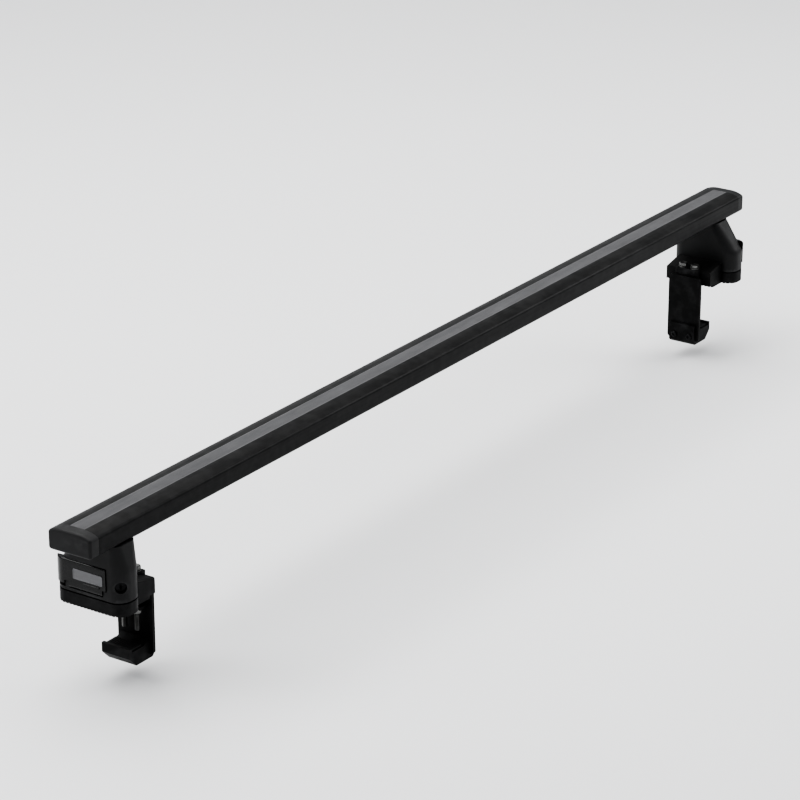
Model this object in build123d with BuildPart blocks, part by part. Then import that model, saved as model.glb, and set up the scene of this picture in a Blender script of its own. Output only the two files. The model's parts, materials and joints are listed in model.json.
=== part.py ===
from build123d import *
import os

# Bed cargo bar: a hollow crossbar on two clamping feet that stand on the two bed rails.
#
# Frame: +X along the bar towards the right rail, +Y towards the cab, +Z up.
# Origin: centre of the flat load face on top of the bar.
# The two feet are the same product turned half round, so each piece is drawn once, at the
# left rail, and the right one is a copy turned 180 degrees about Z.
# Millimetres throughout.

# ---- Driving dimensions -----------------------------------------------------------------

BAR_LENGTH = 1750.0  # over the end caps
BAR_WIDTH = 72.0
BAR_HEIGHT = 33.0
BAR_WALL = 2.5
BAR_CROWN = 5.9  # fall of the top from its flat middle to the side
BAR_EDGE_RADIUS = 5.0

SLOT_REBATE = 25.0  # flat middle of the top, taken by the strip
SLOT_REBATE_DEPTH = 1.6
SLOT_MOUTH = 17.0
SLOT_LIP = 4.0
CHANNEL_WIDTH = 24.0  # both channels, inside
CHANNEL_HEIGHT = 8.0
LOWER_MOUTH = 11.0
LOWER_LIP = 3.5
CAP_LENGTH = 18.0
CAP_SPIGOT = 16.0

SEAT_DROP = 133.0  # load face to bed rail
TOWER_OUT = 826.5  # outer face of the foot, from the middle of the bar
TOWER_DEPTH = 46.0
TOWER_SHORT_END = -46.0  # Y of the end that carries the lock
TOWER_LONG_END = 71.0
TOWER_CORNER = 20.0
PAD_THICKNESS = 4.0
BASE_TOP = 20.0  # heights of the foot are above the bed rail
BASE_GROOVE = 2.0
NECK_SHORT_END = -38.0
NECK_LONG_END = 36.0
SHORT_SHOULDER = 62.0  # height where each flank starts to lean in
SHORT_SHOULDER_RADIUS = 24.0
LONG_SHOULDER = 53.0
LONG_SHOULDER_RADIUS = 12.0

COVER_PROUD = 1.5
COVER_RECESS = 8.0
COVER_BOTTOM = 24.3
COVER_TOP = 66.0
COVER_REAR = -20.0
COVER_SKIN = 2.4
BADGE_LENGTH = 50.0
BADGE_HEIGHT = 15.0
BADGE_CORNER = 2.0
BADGE_THICKNESS = 1.6
BADGE_SINK = 0.8
BADGE_Y = 10.0
BADGE_Z = 47.5

HINGE_INSET = 3.0  # hinge axis behind the outer face
HINGE_Z = 29.2
HINGE_PIN_RADIUS = 1.5
HINGE_BARREL_RADIUS = 4.5  # reaches the face of the cover
EAR_WIDTH = 6.0
EAR_REAR = -20.0  # low Y of each ear
EAR_FRONT = 44.0

LOCK_RADIUS = 8.0
LOCK_Z = 42.0
LOCK_DEPTH = 19.0
CAM_THICKNESS = 2.6
CAM_REACH = 14.5
CAM_WIDTH = 8.0
CAM_HUB_RADIUS = 6.0
CAM_TIP_GAP = 1.5

CLAMP_Y = 8.0  # middle of the clamp
PAD_END = 750.0  # the pad stops short of the tension bolts
ARM_END = 742.0
ARM_WIDTH = 84.0
ARM_TOP_OUT = 35.0  # height of the arm beside the tower
ARM_TOP_IN = 27.0
NOSE_END = 735.2
NOSE_WIDTH = 44.0
NOSE_TOP = 30.0
PLATE_GAP = 0.5
PLATE_THICKNESS = 5.0
PLATE_WIDTH = 60.0
PLATE_TOP = 18.0
PLATE_BOTTOM = -94.0
TAB_TOP = -20.0
TAB_REACH = 15.0
BOLT_X = 744.0
BOLT_SPACING = 22.0
BOLT_LENGTH = 90.0
JAW_WIDTH = 48.0
JAW_SCREW_SPACING = 28.0
JAW_SCREW_Z = -86.0

M8 = 8.0
M8_FLATS = 13.0
M8_HEAD = 5.3
M8_NUT = 6.5
M8_WASHER_RADIUS = 8.0
M8_WASHER = 1.6
M6 = 6.0

FIT = 0.05  # radial clearance of a shaft in its own bore
SLIDE_GAP = 0.2  # between flat faces that slide
BOLT_GAP = 0.3  # round a bolt in a clearance hole
PART_GAP = 0.4  # between a panel and the opening it closes


def above_rail(height):
    """Z of a point that is this high above the bed rail."""
    return height - SEAT_DROP


def tower_plan(grow=0.0):
    """Plan outline of the foot, grown all round, in the current sketch."""
    length = TOWER_LONG_END - TOWER_SHORT_END
    middle = (TOWER_DEPTH / 2 - TOWER_OUT, (TOWER_LONG_END + TOWER_SHORT_END) / 2)
    with Locations(middle):
        RectangleRounded(TOWER_DEPTH + 2 * grow, length + 2 * grow, TOWER_CORNER + grow)


def block_sketch(y_low, y_high, z_low, z_high):
    """Rectangle in a YZ sketch, between two Y values and two heights above the rail."""
    with Locations(((y_low + y_high) / 2, above_rail((z_low + z_high) / 2))):
        Rectangle(y_high - y_low, z_high - z_low)


def badge_outline():
    """Outline of the badge in a YZ sketch."""
    with Locations((BADGE_Y, above_rail(BADGE_Z))):
        RectangleRounded(BADGE_LENGTH, BADGE_HEIGHT, BADGE_CORNER)


# ---- Load bar ---------------------------------------------------------------------------

with BuildSketch(Plane.YZ) as bar_outline:
    with BuildLine():
        flat = Line((0, 0), (SLOT_REBATE / 2, 0))
        crown = TangentArc(flat @ 1, (BAR_WIDTH / 2, -BAR_CROWN), tangent=(1, 0))
        Polyline(crown @ 1, (BAR_WIDTH / 2, -BAR_HEIGHT), (0, -BAR_HEIGHT))
        mirror(about=Plane.YZ)
    make_face()
    side_corners = bar_outline.vertices().group_by(Axis.X)
    fillet(side_corners[0] + side_corners[-1], BAR_EDGE_RADIUS)

with BuildSketch(Plane.YZ) as side_chambers:
    add(bar_outline.sketch_local)
    offset(amount=-BAR_WALL, mode=Mode.REPLACE)
    with Locations((0, -BAR_HEIGHT / 2)):
        Rectangle(CHANNEL_WIDTH + 2 * BAR_WALL, BAR_HEIGHT, mode=Mode.SUBTRACT)

UPPER_FLOOR = SLOT_LIP + CHANNEL_HEIGHT + BAR_WALL
LOWER_ROOF = BAR_HEIGHT - LOWER_LIP - CHANNEL_HEIGHT - BAR_WALL

with BuildSketch(Plane.YZ) as channels:
    with Locations((0, -SLOT_REBATE_DEPTH / 2)):
        Rectangle(SLOT_REBATE, SLOT_REBATE_DEPTH)
    with Locations((0, -SLOT_LIP / 2)):
        Rectangle(SLOT_MOUTH, SLOT_LIP)
    with Locations((0, -SLOT_LIP - CHANNEL_HEIGHT / 2)):
        Rectangle(CHANNEL_WIDTH, CHANNEL_HEIGHT)
    with Locations((0, -(UPPER_FLOOR + LOWER_ROOF) / 2)):
        Rectangle(CHANNEL_WIDTH, LOWER_ROOF - UPPER_FLOOR)
    with Locations((0, LOWER_LIP + CHANNEL_HEIGHT / 2 - BAR_HEIGHT)):
        Rectangle(CHANNEL_WIDTH, CHANNEL_HEIGHT)
    with Locations((0, LOWER_LIP / 2 - BAR_HEIGHT)):
        Rectangle(LOWER_MOUTH, LOWER_LIP)

PROFILE_HALF = BAR_LENGTH / 2 - CAP_LENGTH

with BuildPart() as load_bar:
    with BuildSketch(Plane.YZ):
        add(bar_outline.sketch_local)
        add(side_chambers.sketch_local, mode=Mode.SUBTRACT)
        add(channels.sketch_local, mode=Mode.SUBTRACT)
    extrude(amount=PROFILE_HALF, both=True)

STRIP_KEEPER = 20.0  # barbs of the strip under the lips of the slot
STRIP_KEEPER_HEIGHT = 2.2

with BuildPart() as top_strip:
    with BuildSketch(Plane.YZ):
        with Locations((0, -SLOT_REBATE_DEPTH / 2)):
            Rectangle(SLOT_REBATE - 2 * FIT, SLOT_REBATE_DEPTH)
        with Locations((0, -SLOT_LIP / 2)):
            Rectangle(SLOT_MOUTH - 2 * FIT, SLOT_LIP)
        with Locations((0, -SLOT_LIP - STRIP_KEEPER_HEIGHT / 2)):
            Rectangle(STRIP_KEEPER, STRIP_KEEPER_HEIGHT)
    extrude(amount=PROFILE_HALF, both=True)

CAP_NOSE_RADIUS = 4.0

with BuildPart() as end_cap_left:
    with BuildSketch(Plane.YZ.offset(-PROFILE_HALF)):
        add(bar_outline.sketch_local)
    extrude(amount=-CAP_LENGTH)
    fillet(end_cap_left.faces().sort_by(Axis.X)[0].edges(), CAP_NOSE_RADIUS)
    with BuildSketch(Plane.YZ.offset(-PROFILE_HALF)):
        add(side_chambers.sketch_local)
        offset(amount=-SLIDE_GAP, mode=Mode.REPLACE)
    extrude(amount=CAP_SPIGOT)


# ---- Foot: pad, base and body -----------------------------------------------------------

PAD_CORNER = 6.0

with BuildPart() as left_rail_pad:
    with BuildSketch(Plane.XY.offset(above_rail(0))):
        tower_plan()
        with Locations((-(TOWER_OUT - TOWER_CORNER + PAD_END) / 2, CLAMP_Y)):
            Rectangle(TOWER_OUT - TOWER_CORNER - PAD_END, ARM_WIDTH)
    extrude(amount=PAD_THICKNESS)
    fillet(left_rail_pad.edges().filter_by(Axis.Z).group_by(Axis.X)[-1], PAD_CORNER)

BASE_SCREWS = ((-800.0, 52.0), (-795.0, -8.0))
BASE_SCREW_HEAD_RADIUS = 5.5
BASE_SCREW_HEAD = 6.0
ARM_EDGE = 3.0
NOSE_CORNER = 3.0

with BuildPart() as left_foot_base:
    with BuildSketch(Plane.XY.offset(above_rail(PAD_THICKNESS))):
        tower_plan()
    extrude(amount=BASE_TOP - BASE_GROOVE - PAD_THICKNESS)
    with BuildSketch(Plane.XY.offset(above_rail(BASE_TOP - BASE_GROOVE))):
        tower_plan(grow=-BASE_GROOVE)
    extrude(amount=BASE_GROOVE)
    # arm over the rail's inner edge, with a sloping top
    arm_out = TOWER_OUT - TOWER_DEPTH - SLIDE_GAP
    with BuildSketch(Plane.XZ.offset(-CLAMP_Y)):
        with BuildLine():
            Polyline(
                (-TOWER_OUT + TOWER_CORNER, above_rail(PAD_THICKNESS)),
                (-ARM_END, above_rail(PAD_THICKNESS)),
                (-ARM_END, above_rail(ARM_TOP_IN)),
                (-arm_out, above_rail(ARM_TOP_OUT)),
                (-arm_out, above_rail(BASE_TOP - BASE_GROOVE)),
                (-TOWER_OUT + TOWER_CORNER, above_rail(BASE_TOP - BASE_GROOVE)),
                close=True,
            )
        make_face()
    extrude(amount=ARM_WIDTH / 2, both=True)
    arm_sides = left_foot_base.faces().filter_by(Axis.Y).edges().filter_by(GeomType.LINE)
    fillet(arm_sides.filter_by(lambda edge: edge.center().Z > above_rail(BASE_TOP)), ARM_EDGE)
    # nose that carries the two tension bolts
    with BuildSketch(Plane.XY.offset(above_rail(PAD_THICKNESS))):
        with Locations((-(NOSE_END + BOLT_X + 2 * M8) / 2, CLAMP_Y)):
            RectangleRounded(BOLT_X + 2 * M8 - NOSE_END, NOSE_WIDTH, NOSE_CORNER)
    extrude(amount=NOSE_TOP - PAD_THICKNESS)
    with BuildSketch(Plane.XY.offset(above_rail(PAD_THICKNESS))):
        with Locations((-BOLT_X, CLAMP_Y - BOLT_SPACING / 2), (-BOLT_X, CLAMP_Y + BOLT_SPACING / 2)):
            Circle(M8 / 2 + BOLT_GAP)
    extrude(amount=NOSE_TOP, mode=Mode.SUBTRACT)
    # screws come up from below, their heads sunk over the pad
    with BuildSketch(Plane.XY.offset(above_rail(PAD_THICKNESS))):
        with Locations(*BASE_SCREWS):
            Circle(M6 / 2 + FIT)
    extrude(amount=BASE_TOP, mode=Mode.SUBTRACT)
    with BuildSketch(Plane.XY.offset(above_rail(PAD_THICKNESS))):
        with Locations(*BASE_SCREWS):
            Circle(BASE_SCREW_HEAD_RADIUS + SLIDE_GAP)
    extrude(amount=BASE_SCREW_HEAD + SLIDE_GAP, mode=Mode.SUBTRACT)

NECK_TOP = SEAT_DROP - BAR_HEIGHT - SLIDE_GAP
CAVITY_DEPTH = 33.0
CAVITY_FLOOR = 27.0
CAVITY_SHOULDER = 50.0
CAVITY_ROOF = 88.0
CAVITY_REAR = -22.0
CAVITY_FRONT = 60.0
CAVITY_ROOF_FRONT = 33.0
CAVITY_CORNER = 3.0
RIB_HEIGHT = 2.4
RIB_INSET = 4.0
BOSS_RADIUS = 6.5
BOSS_TOP = 37.0
BASE_SCREW_TIP = 34.0
T_BOLTS = ((-811.5, 0.0), (-793.5, 0.0))
HINGE_X = HINGE_INSET - TOWER_OUT

# the lock faces outwards and backwards, square to the rounded corner it sits in
corner_middle = Vector(TOWER_CORNER - TOWER_OUT, TOWER_SHORT_END + TOWER_CORNER, above_rail(LOCK_Z))
lock_out = Vector(-1, -1, 0).normalized()
lock_plane = Plane(corner_middle + lock_out * TOWER_CORNER, x_dir=(1, -1, 0), z_dir=lock_out)

with BuildPart() as left_foot_body:
    with BuildSketch(Plane.YZ.offset(-TOWER_OUT)) as elevation:
        with BuildLine():
            Polyline(
                (TOWER_SHORT_END, above_rail(BASE_TOP)),
                (TOWER_SHORT_END, above_rail(SHORT_SHOULDER)),
                (NECK_SHORT_END, above_rail(NECK_TOP)),
                (NECK_LONG_END, above_rail(NECK_TOP)),
                (TOWER_LONG_END, above_rail(LONG_SHOULDER)),
                (TOWER_LONG_END, above_rail(BASE_TOP)),
                close=True,
            )
        make_face()
        ends = elevation.vertices().group_by(Axis.X)
        fillet(ends[0].sort_by(Axis.Y)[-1], SHORT_SHOULDER_RADIUS)
        fillet(ends[-1].sort_by(Axis.Y)[-1], LONG_SHOULDER_RADIUS)
    extrude(amount=TOWER_DEPTH)
    with BuildSketch(Plane.XY.offset(above_rail(BASE_TOP))):
        tower_plan()
    extrude(amount=NECK_TOP, mode=Mode.INTERSECT)
    # recess for the cover, then the cavity behind it
    with BuildSketch(Plane.YZ.offset(-TOWER_OUT)):
        block_sketch(COVER_REAR, TOWER_LONG_END, COVER_BOTTOM, COVER_TOP)
    extrude(amount=COVER_RECESS, mode=Mode.SUBTRACT)
    with BuildSketch(Plane.YZ.offset(COVER_RECESS - TOWER_OUT)) as cavity:
        with BuildLine():
            Polyline(
                (CAVITY_REAR, above_rail(CAVITY_FLOOR)),
                (CAVITY_REAR, above_rail(CAVITY_ROOF)),
                (CAVITY_ROOF_FRONT, above_rail(CAVITY_ROOF)),
                (CAVITY_FRONT, above_rail(CAVITY_SHOULDER)),
                (CAVITY_FRONT, above_rail(CAVITY_FLOOR)),
                close=True,
            )
        make_face()
        fillet(cavity.vertices(), CAVITY_CORNER)
    extrude(amount=CAVITY_DEPTH, mode=Mode.SUBTRACT)
    # locating rib that runs in the mouth of the bar's lower channel
    with BuildSketch(Plane.XY.offset(above_rail(NECK_TOP))):
        with Locations((TOWER_DEPTH / 2 - TOWER_OUT, 0)):
            Rectangle(TOWER_DEPTH - 2 * RIB_INSET, LOWER_MOUTH - 2 * BOLT_GAP)
    extrude(amount=RIB_HEIGHT)
    with BuildSketch(Plane.XY.offset(above_rail(CAVITY_ROOF))):
        with Locations(*T_BOLTS):
            Circle(M8 / 2 + SLIDE_GAP)
    extrude(amount=NECK_TOP + RIB_HEIGHT - CAVITY_ROOF, mode=Mode.SUBTRACT)
    # screw bosses on the floor
    with BuildSketch(Plane.XY.offset(above_rail(BASE_TOP))):
        with Locations(*BASE_SCREWS):
            Circle(BOSS_RADIUS)
    extrude(amount=BOSS_TOP - BASE_TOP)
    with BuildSketch(Plane.XY.offset(above_rail(BASE_TOP))):
        with Locations(*BASE_SCREWS):
            Circle(M6 / 2)
    extrude(amount=BASE_SCREW_TIP - BASE_TOP, mode=Mode.SUBTRACT)
    # two ears at the outer face hold the hinge pin of the cover
    for ear in (EAR_REAR, EAR_FRONT):
        with BuildSketch(Plane.XZ.offset(-ear)):
            with Locations((HINGE_X, above_rail(HINGE_Z))):
                Circle(HINGE_BARREL_RADIUS)
            with Locations((HINGE_X, above_rail((COVER_BOTTOM + HINGE_Z) / 2))):
                Rectangle(2 * HINGE_BARREL_RADIUS, HINGE_Z - COVER_BOTTOM)
            with Locations(((HINGE_X + COVER_RECESS - TOWER_OUT) / 2, above_rail(HINGE_Z))):
                Rectangle(COVER_RECESS - HINGE_INSET, 2 * HINGE_BARREL_RADIUS)
        extrude(amount=-EAR_WIDTH)
    with BuildSketch(Plane.XZ.offset(-EAR_REAR)):
        with Locations((HINGE_X, above_rail(HINGE_Z))):
            Circle(HINGE_PIN_RADIUS)
    extrude(amount=EAR_REAR - EAR_FRONT - EAR_WIDTH, mode=Mode.SUBTRACT)
    # bore of the lock and the space its cam turns in
    with BuildSketch(lock_plane):
        Circle(LOCK_RADIUS + FIT)
    extrude(amount=-LOCK_DEPTH - CAM_THICKNESS, mode=Mode.SUBTRACT)
    with BuildSketch(lock_plane.offset(PART_GAP - LOCK_DEPTH)):
        Circle(CAM_REACH + CAM_TIP_GAP)
    extrude(amount=-CAM_THICKNESS - 2 * PART_GAP, mode=Mode.SUBTRACT)

SCREW_SOCKET_RADIUS = 2.9
SCREW_SOCKET = 3.5

with BuildPart() as left_base_screws:
    with BuildSketch(Plane.XY.offset(above_rail(PAD_THICKNESS + SLIDE_GAP))):
        with Locations(*BASE_SCREWS):
            Circle(BASE_SCREW_HEAD_RADIUS)
    extrude(amount=BASE_SCREW_HEAD)
    with BuildSketch(Plane.XY.offset(above_rail(PAD_THICKNESS + BASE_SCREW_HEAD))):
        with Locations(*BASE_SCREWS):
            Circle(M6 / 2)
    extrude(amount=BASE_SCREW_TIP - PAD_THICKNESS - BASE_SCREW_HEAD)
    with BuildSketch(Plane.XY.offset(above_rail(PAD_THICKNESS))):
        with Locations(*BASE_SCREWS):
            RegularPolygon(SCREW_SOCKET_RADIUS, 6)
    extrude(amount=SLIDE_GAP + SCREW_SOCKET, mode=Mode.SUBTRACT)


# ---- T-bolts that hang the foot from the bar ----------------------------------------------

T_HEAD = 14.0
T_HEAD_HEIGHT = 5.5
T_HEAD_BOTTOM = LOWER_LIP - BAR_HEIGHT + SLIDE_GAP
T_NUT_TOP = above_rail(CAVITY_ROOF)
T_BOLT_END = T_NUT_TOP - M8_NUT - 3.0

with BuildPart() as left_t_bolts:
    with BuildSketch(Plane.XY.offset(T_HEAD_BOTTOM)):
        with Locations(*T_BOLTS):
            Rectangle(T_HEAD, T_HEAD)
    extrude(amount=T_HEAD_HEIGHT)
    with BuildSketch(Plane.XY.offset(T_HEAD_BOTTOM)):
        with Locations(*T_BOLTS):
            Circle(M8 / 2)
    extrude(amount=T_BOLT_END - T_HEAD_BOTTOM)

with BuildPart() as left_t_bolt_nuts:
    with BuildSketch(Plane.XY.offset(T_NUT_TOP)):
        with Locations(*T_BOLTS):
            RegularPolygon(M8_FLATS / 2, 6, major_radius=False, rotation=30)
            Circle(M8 / 2, mode=Mode.SUBTRACT)
    extrude(amount=-M8_NUT)


# ---- Cover, badge, hinge pin and lock -----------------------------------------------------

COVER_HIGH = COVER_TOP - PART_GAP
BARREL_REAR = EAR_REAR + EAR_WIDTH + PART_GAP
BARREL_FRONT = EAR_FRONT - PART_GAP
COVER_FACE = -TOWER_OUT - COVER_PROUD
COVER_INNER = COVER_RECESS - PART_GAP - TOWER_OUT
COVER_EDGE_RADIUS = 2.2
EAR_NOTCH_TOP = HINGE_Z + HINGE_BARREL_RADIUS + PART_GAP
TONGUE_THICKNESS = 3.0
TONGUE_Y = -6.0
TONGUE_HOOK_X = -811.0
TONGUE_HOOK_REACH = 8.0

with BuildPart() as left_cover:
    # the shell reaches down to the hinge axis, and its barrel goes below that
    with BuildSketch(Plane.XY.offset(above_rail(COVER_BOTTOM + PART_GAP))):
        tower_plan(grow=COVER_PROUD)
    extrude(amount=COVER_HIGH - COVER_BOTTOM - PART_GAP)
    with BuildSketch(Plane.YZ.offset(COVER_FACE)):
        block_sketch(COVER_REAR + PART_GAP, TOWER_LONG_END + COVER_PROUD, HINGE_Z, COVER_HIGH)
        block_sketch(BARREL_REAR, BARREL_FRONT, COVER_BOTTOM + PART_GAP, HINGE_Z)
    extrude(amount=COVER_INNER - COVER_FACE, mode=Mode.INTERSECT)
    top_edges = left_cover.faces().sort_by(Axis.Z)[-1].edges()
    fillet(top_edges.filter_by(lambda edge: edge.center().X < -TOWER_OUT), COVER_EDGE_RADIUS)
    # hollow from behind, with a rim all round
    with BuildSketch(Plane.XY.offset(above_rail(EAR_NOTCH_TOP + COVER_SKIN))):
        tower_plan(grow=COVER_PROUD - COVER_SKIN)
        with BuildLine():
            Polyline(
                (COVER_INNER, COVER_REAR + PART_GAP + COVER_SKIN),
                (COVER_INNER, TOWER_LONG_END),
                (COVER_FACE, TOWER_LONG_END),
                (COVER_FACE, COVER_REAR + PART_GAP + COVER_SKIN),
                close=True,
            )
        make_face(mode=Mode.INTERSECT)
    extrude(amount=COVER_HIGH - EAR_NOTCH_TOP - 2 * COVER_SKIN, mode=Mode.SUBTRACT)
    # clearance for the two ears
    with BuildSketch(Plane.YZ.offset(COVER_FACE)):
        block_sketch(COVER_REAR, BARREL_REAR, COVER_BOTTOM, EAR_NOTCH_TOP)
        block_sketch(BARREL_FRONT, EAR_FRONT + EAR_WIDTH + PART_GAP, COVER_BOTTOM, EAR_NOTCH_TOP)
    extrude(amount=COVER_INNER - COVER_FACE, mode=Mode.SUBTRACT)
    # round the barrel about the hinge axis
    with BuildSketch(Plane.XZ.offset(-BARREL_REAR)):
        with Locations(((COVER_FACE + COVER_INNER) / 2, above_rail(HINGE_Z / 2))):
            Rectangle(COVER_INNER - COVER_FACE, HINGE_Z)
        with Locations((HINGE_X, above_rail(HINGE_Z))):
            Circle(HINGE_BARREL_RADIUS, mode=Mode.SUBTRACT)
    extrude(amount=BARREL_REAR - BARREL_FRONT, mode=Mode.SUBTRACT)
    with BuildSketch(Plane.XZ.offset(-BARREL_REAR)):
        with Locations((HINGE_X, above_rail(HINGE_Z))):
            Circle(HINGE_PIN_RADIUS + FIT)
    extrude(amount=BARREL_REAR - BARREL_FRONT, mode=Mode.SUBTRACT)
    # hooked tongue that the cam of the lock holds
    with BuildSketch(Plane.XY.offset(above_rail(LOCK_Z - CAM_WIDTH / 2 - 1))):
        with BuildLine():
            Polyline(
                (-TOWER_OUT, TONGUE_Y),
                (TONGUE_HOOK_X + TONGUE_THICKNESS, TONGUE_Y),
                (TONGUE_HOOK_X + TONGUE_THICKNESS, TONGUE_Y - TONGUE_THICKNESS - TONGUE_HOOK_REACH),
                (TONGUE_HOOK_X, TONGUE_Y - TONGUE_THICKNESS - TONGUE_HOOK_REACH),
                (TONGUE_HOOK_X, TONGUE_Y - TONGUE_THICKNESS),
                (-TOWER_OUT, TONGUE_Y - TONGUE_THICKNESS),
                close=True,
            )
        make_face()
    extrude(amount=CAM_WIDTH + 2)
    # shallow seat of the badge
    with BuildSketch(Plane.YZ.offset(COVER_FACE)):
        badge_outline()
    extrude(amount=BADGE_SINK, mode=Mode.SUBTRACT)

BADGE_EDGE = 0.5

with BuildPart() as left_badge:
    with BuildSketch(Plane.YZ.offset(COVER_FACE + BADGE_SINK)):
        badge_outline()
    extrude(amount=-BADGE_THICKNESS)
    fillet(left_badge.faces().sort_by(Axis.X)[0].edges(), BADGE_EDGE)

with BuildPart() as left_cover_pin:
    with BuildSketch(Plane.XZ.offset(-EAR_REAR)):
        with Locations((HINGE_X, above_rail(HINGE_Z))):
            Circle(HINGE_PIN_RADIUS)
    extrude(amount=EAR_REAR - EAR_FRONT - EAR_WIDTH)

LOCK_RECESS = 5.0  # face of the cylinder behind the crown of the corner
LOCK_EDGE = 0.8
KEYHOLE_WIDTH = 1.6
KEYHOLE_HEIGHT = 8.0
KEYHOLE_DEPTH = 5.0

with BuildPart() as left_lock_cylinder:
    with BuildSketch(lock_plane.offset(-LOCK_RECESS)):
        Circle(LOCK_RADIUS)
    extrude(amount=LOCK_RECESS - LOCK_DEPTH)
    fillet(left_lock_cylinder.edges().sort_by(Axis(lock_plane.origin, lock_out))[-1], LOCK_EDGE)
    with BuildSketch(lock_plane.offset(-LOCK_RECESS)):
        Rectangle(KEYHOLE_WIDTH, KEYHOLE_HEIGHT)
        Circle(KEYHOLE_WIDTH)
    extrude(amount=-KEYHOLE_DEPTH, mode=Mode.SUBTRACT)

with BuildPart() as left_lock_cam:
    with BuildSketch(lock_plane.offset(-LOCK_DEPTH)):
        Circle(CAM_HUB_RADIUS)
        with Locations((0, CAM_REACH / 2)):
            Rectangle(CAM_WIDTH, CAM_REACH)
    extrude(amount=-CAM_THICKNESS)


# ---- Rail clamp -----------------------------------------------------------------------------

PLATE_FACE = NOSE_END - PLATE_GAP  # outboard face of the plate
PLATE_CORNER = 5.0
NUT_FLATS = 12.4
BOLTS_Y = (CLAMP_Y - BOLT_SPACING / 2, CLAMP_Y + BOLT_SPACING / 2)
JAW_SCREWS_Y = (CLAMP_Y - JAW_SCREW_SPACING / 2, CLAMP_Y + JAW_SCREW_SPACING / 2)

with BuildPart() as left_clamp_plate:
    with BuildSketch(Plane.YZ.offset(-PLATE_FACE)) as plate_face:
        block_sketch(CLAMP_Y - PLATE_WIDTH / 2, CLAMP_Y + PLATE_WIDTH / 2, PLATE_BOTTOM, PLATE_TOP)
        fillet(plate_face.vertices(), PLATE_CORNER)
        for y in JAW_SCREWS_Y:
            with Locations((y, above_rail(JAW_SCREW_Z))):
                Circle(M6 / 2 + FIT, mode=Mode.SUBTRACT)
    extrude(amount=PLATE_THICKNESS)
    # folded tab that the tension bolts pull on
    with BuildSketch(Plane.XY.offset(above_rail(TAB_TOP))):
        with Locations((-PLATE_FACE - TAB_REACH / 2, CLAMP_Y)):
            Rectangle(TAB_REACH, NOSE_WIDTH)
        for y in BOLTS_Y:
            with Locations((-BOLT_X, y)):
                Circle(M8 / 2 + PART_GAP, mode=Mode.SUBTRACT)
    extrude(amount=-PLATE_THICKNESS)

with BuildPart() as left_weld_nuts:
    with BuildSketch(Plane.XY.offset(above_rail(TAB_TOP - PLATE_THICKNESS))):
        for y in BOLTS_Y:
            with Locations((-BOLT_X, y)):
                RegularPolygon(NUT_FLATS / 2, 6, major_radius=False, rotation=30)
                Circle(M8 / 2 + FIT, mode=Mode.SUBTRACT)
    extrude(amount=-M8_NUT)

JAW_CHEEK = 725.0
JAW_REACH = 778.0
JAW_TOP = -66.0
JAW_SEAT = -77.0
JAW_BOTTOM = -100.0
JAW_PAD_THICKNESS = 3.0
JAW_PAD_IN = 750.0
JAW_PAD_OUT = 772.5
JAW_PAD_INSET = 2.0
JAW_HEEL = 14.0  # chamfer under the hook
JAW_TOE = 4.0
HOOK_RISE = 5.0  # lip and step above the seat of the pad
JAW_SCREW_LENGTH = 26.0
JAW_SCREW_HEAD_RADIUS = 5.25
JAW_SCREW_HEAD = 3.0
JAW_SOCKET_RADIUS = 2.3
JAW_SOCKET = 2.0

with BuildPart() as left_clamp_jaw:
    with BuildSketch(Plane.XZ.offset(-CLAMP_Y)):
        with BuildLine():
            Polyline(
                (-JAW_CHEEK, above_rail(JAW_TOP)),
                (-PLATE_FACE + PLATE_THICKNESS + FIT, above_rail(JAW_TOP)),
                (-PLATE_FACE + PLATE_THICKNESS + FIT, above_rail(PLATE_BOTTOM - FIT)),
                (-PLATE_FACE - FIT, above_rail(PLATE_BOTTOM - FIT)),
                (-PLATE_FACE - FIT, above_rail(JAW_SEAT + HOOK_RISE)),
                (-JAW_PAD_IN + JAW_PAD_INSET, above_rail(JAW_SEAT)),
                (-JAW_PAD_OUT - PART_GAP, above_rail(JAW_SEAT)),
                (-JAW_PAD_OUT - PART_GAP, above_rail(JAW_SEAT + HOOK_RISE)),
                (-JAW_REACH, above_rail(JAW_SEAT + HOOK_RISE)),
                (-JAW_REACH, above_rail(JAW_BOTTOM + JAW_HEEL)),
                (-JAW_REACH + JAW_HEEL, above_rail(JAW_BOTTOM)),
                (-JAW_CHEEK - JAW_TOE, above_rail(JAW_BOTTOM)),
                (-JAW_CHEEK, above_rail(JAW_BOTTOM + JAW_TOE)),
                close=True,
            )
        make_face()
    extrude(amount=JAW_WIDTH / 2, both=True)
    for y in JAW_SCREWS_Y:
        with BuildSketch(Plane.YZ.offset(-JAW_CHEEK)):
            with Locations((y, above_rail(JAW_SCREW_Z))):
                Circle(M6 / 2 + FIT)
        extrude(amount=-JAW_SCREW_LENGTH - JAW_PAD_INSET, mode=Mode.SUBTRACT)

with BuildPart() as left_jaw_pad:
    with BuildSketch(Plane.XY.offset(above_rail(JAW_SEAT))):
        with Locations((-(JAW_PAD_IN + JAW_PAD_OUT) / 2, CLAMP_Y)):
            Rectangle(JAW_PAD_OUT - JAW_PAD_IN, JAW_WIDTH - 2 * JAW_PAD_INSET)
    extrude(amount=JAW_PAD_THICKNESS)

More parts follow.
